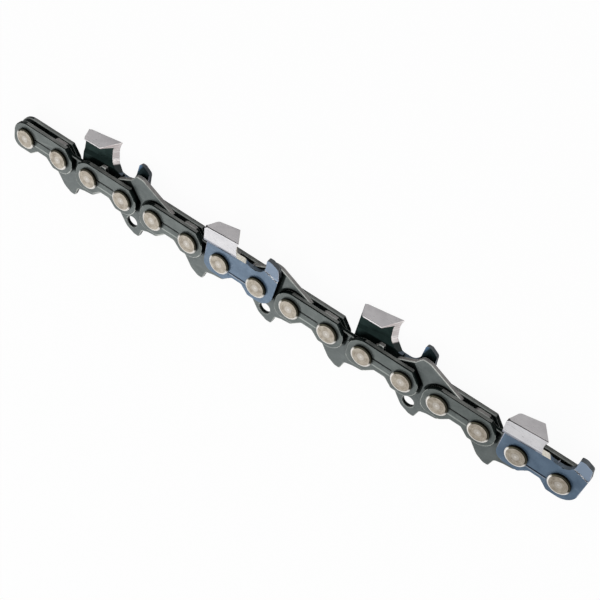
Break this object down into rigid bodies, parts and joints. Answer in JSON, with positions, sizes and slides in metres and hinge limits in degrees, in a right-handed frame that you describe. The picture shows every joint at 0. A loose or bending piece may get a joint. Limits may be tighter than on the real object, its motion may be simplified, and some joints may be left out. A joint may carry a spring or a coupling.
{
  "type": "saw chain section",
  "caption": "Straight open stretch of low-profile saw chain: cutters with depth gauges on alternate sides, tie straps, hooked drive links and ramped bumper links on turning rivets.",
  "frame": {"origin": "under the middle of the stretch, on the surface it lies on", "axes": "+X along the chain in its running direction, +Y from the drive tangs to the cutters, +Z along the rivets, upwards as the stretch lies on its side"},
  "size_m": [0.149, 0.0192, 0.007],
  "materials": {
    "strap_steel": "oiled, grey-green",
    "drive_steel": "oiled, grey-green",
    "cutter_steel": "blued side plate, ground and plated top",
    "rivet_steel": "spun bright heads"
  },
  "bodies": {
    "outer_link_1": {"near_strap_1": "strap_steel", "far_strap_1": "strap_steel", "rivet_1": "rivet_steel", "rivet_2": "rivet_steel"},
    "outer_link_2": {"near_strap_2": "strap_steel", "far_cutter_2": "cutter_steel", "rivet_3": "rivet_steel", "rivet_4": "rivet_steel"},
    "outer_link_3": {"near_strap_3": "strap_steel", "far_strap_3": "strap_steel", "rivet_5": "rivet_steel", "rivet_6": "rivet_steel"},
    "outer_link_4": {"near_cutter_4": "cutter_steel", "far_strap_4": "strap_steel", "rivet_7": "rivet_steel", "rivet_8": "rivet_steel"},
    "outer_link_5": {"near_strap_5": "strap_steel", "far_strap_5": "strap_steel", "rivet_9": "rivet_steel", "rivet_10": "rivet_steel"},
    "outer_link_6": {"near_strap_6": "strap_steel", "far_cutter_6": "cutter_steel", "rivet_11": "rivet_steel", "rivet_12": "rivet_steel"},
    "outer_link_7": {"near_strap_7": "strap_steel", "far_strap_7": "strap_steel", "rivet_13": "rivet_steel", "rivet_14": "rivet_steel"},
    "outer_link_8": {"near_cutter_8": "cutter_steel", "far_strap_8": "strap_steel", "rivet_15": "rivet_steel", "rivet_16": "rivet_steel"},
    "inner_link_1": {"drive_link_1": "drive_steel"},
    "inner_link_2": {"bumper_link_2": "drive_steel"},
    "inner_link_3": {"drive_link_3": "drive_steel"},
    "inner_link_4": {"bumper_link_4": "drive_steel"},
    "inner_link_5": {"drive_link_5": "drive_steel"},
    "inner_link_6": {"bumper_link_6": "drive_steel"},
    "inner_link_7": {"drive_link_7": "drive_steel"}
  },
  "joints": [
    {"name": "rivet_2_turn", "type": "hinge", "parent": "inner_link_1", "child": "outer_link_1", "pos_m": [-0.06075, -0.00064, 0.00348], "axis": [0, 0, 1], "range_deg": [-6, 32]},
    {"name": "rivet_3_turn", "type": "hinge", "parent": "outer_link_2", "child": "inner_link_1", "pos_m": [-0.05196, -0.00064, 0.00348], "axis": [0, 0, 1], "range_deg": [-6, 32]},
    {"name": "rivet_4_turn", "type": "hinge", "parent": "inner_link_2", "child": "outer_link_2", "pos_m": [-0.04211, -0.00064, 0.00348], "axis": [0, 0, 1], "range_deg": [-6, 32]},
    {"name": "rivet_5_turn", "type": "hinge", "parent": "outer_link_3", "child": "inner_link_2", "pos_m": [-0.03332, -0.00064, 0.00348], "axis": [0, 0, 1], "range_deg": [-6, 32]},
    {"name": "rivet_6_turn", "type": "hinge", "parent": "inner_link_3", "child": "outer_link_3", "pos_m": [-0.02347, -0.00064, 0.00348], "axis": [0, 0, 1], "range_deg": [-6, 32]},
    {"name": "rivet_7_turn", "type": "hinge", "parent": "outer_link_4", "child": "inner_link_3", "pos_m": [-0.01468, -0.00064, 0.00348], "axis": [0, 0, 1], "range_deg": [-6, 32]},
    {"name": "rivet_8_turn", "type": "hinge", "parent": "inner_link_4", "child": "outer_link_4", "pos_m": [-0.00483, -0.00064, 0.00348], "axis": [0, 0, 1], "range_deg": [-6, 32]},
    {"name": "rivet_9_turn", "type": "hinge", "parent": "inner_link_4", "child": "outer_link_5", "pos_m": [0.00396, -0.00064, 0.00348], "axis": [0, 0, 1], "range_deg": [-32, 6]},
    {"name": "rivet_10_turn", "type": "hinge", "parent": "outer_link_5", "child": "inner_link_5", "pos_m": [0.01381, -0.00064, 0.00348], "axis": [0, 0, 1], "range_deg": [-32, 6]},
    {"name": "rivet_11_turn", "type": "hinge", "parent": "inner_link_5", "child": "outer_link_6", "pos_m": [0.0226, -0.00064, 0.00348], "axis": [0, 0, 1], "range_deg": [-32, 6]},
    {"name": "rivet_12_turn", "type": "hinge", "parent": "outer_link_6", "child": "inner_link_6", "pos_m": [0.03245, -0.00064, 0.00348], "axis": [0, 0, 1], "range_deg": [-32, 6]},
    {"name": "rivet_13_turn", "type": "hinge", "parent": "inner_link_6", "child": "outer_link_7", "pos_m": [0.04124, -0.00064, 0.00348], "axis": [0, 0, 1], "range_deg": [-32, 6]},
    {"name": "rivet_14_turn", "type": "hinge", "parent": "outer_link_7", "child": "inner_link_7", "pos_m": [0.05109, -0.00064, 0.00348], "axis": [0, 0, 1], "range_deg": [-32, 6]},
    {"name": "rivet_15_turn", "type": "hinge", "parent": "inner_link_7", "child": "outer_link_8", "pos_m": [0.05988, -0.00064, 0.00348], "axis": [0, 0, 1], "range_deg": [-32, 6]}
  ]
}
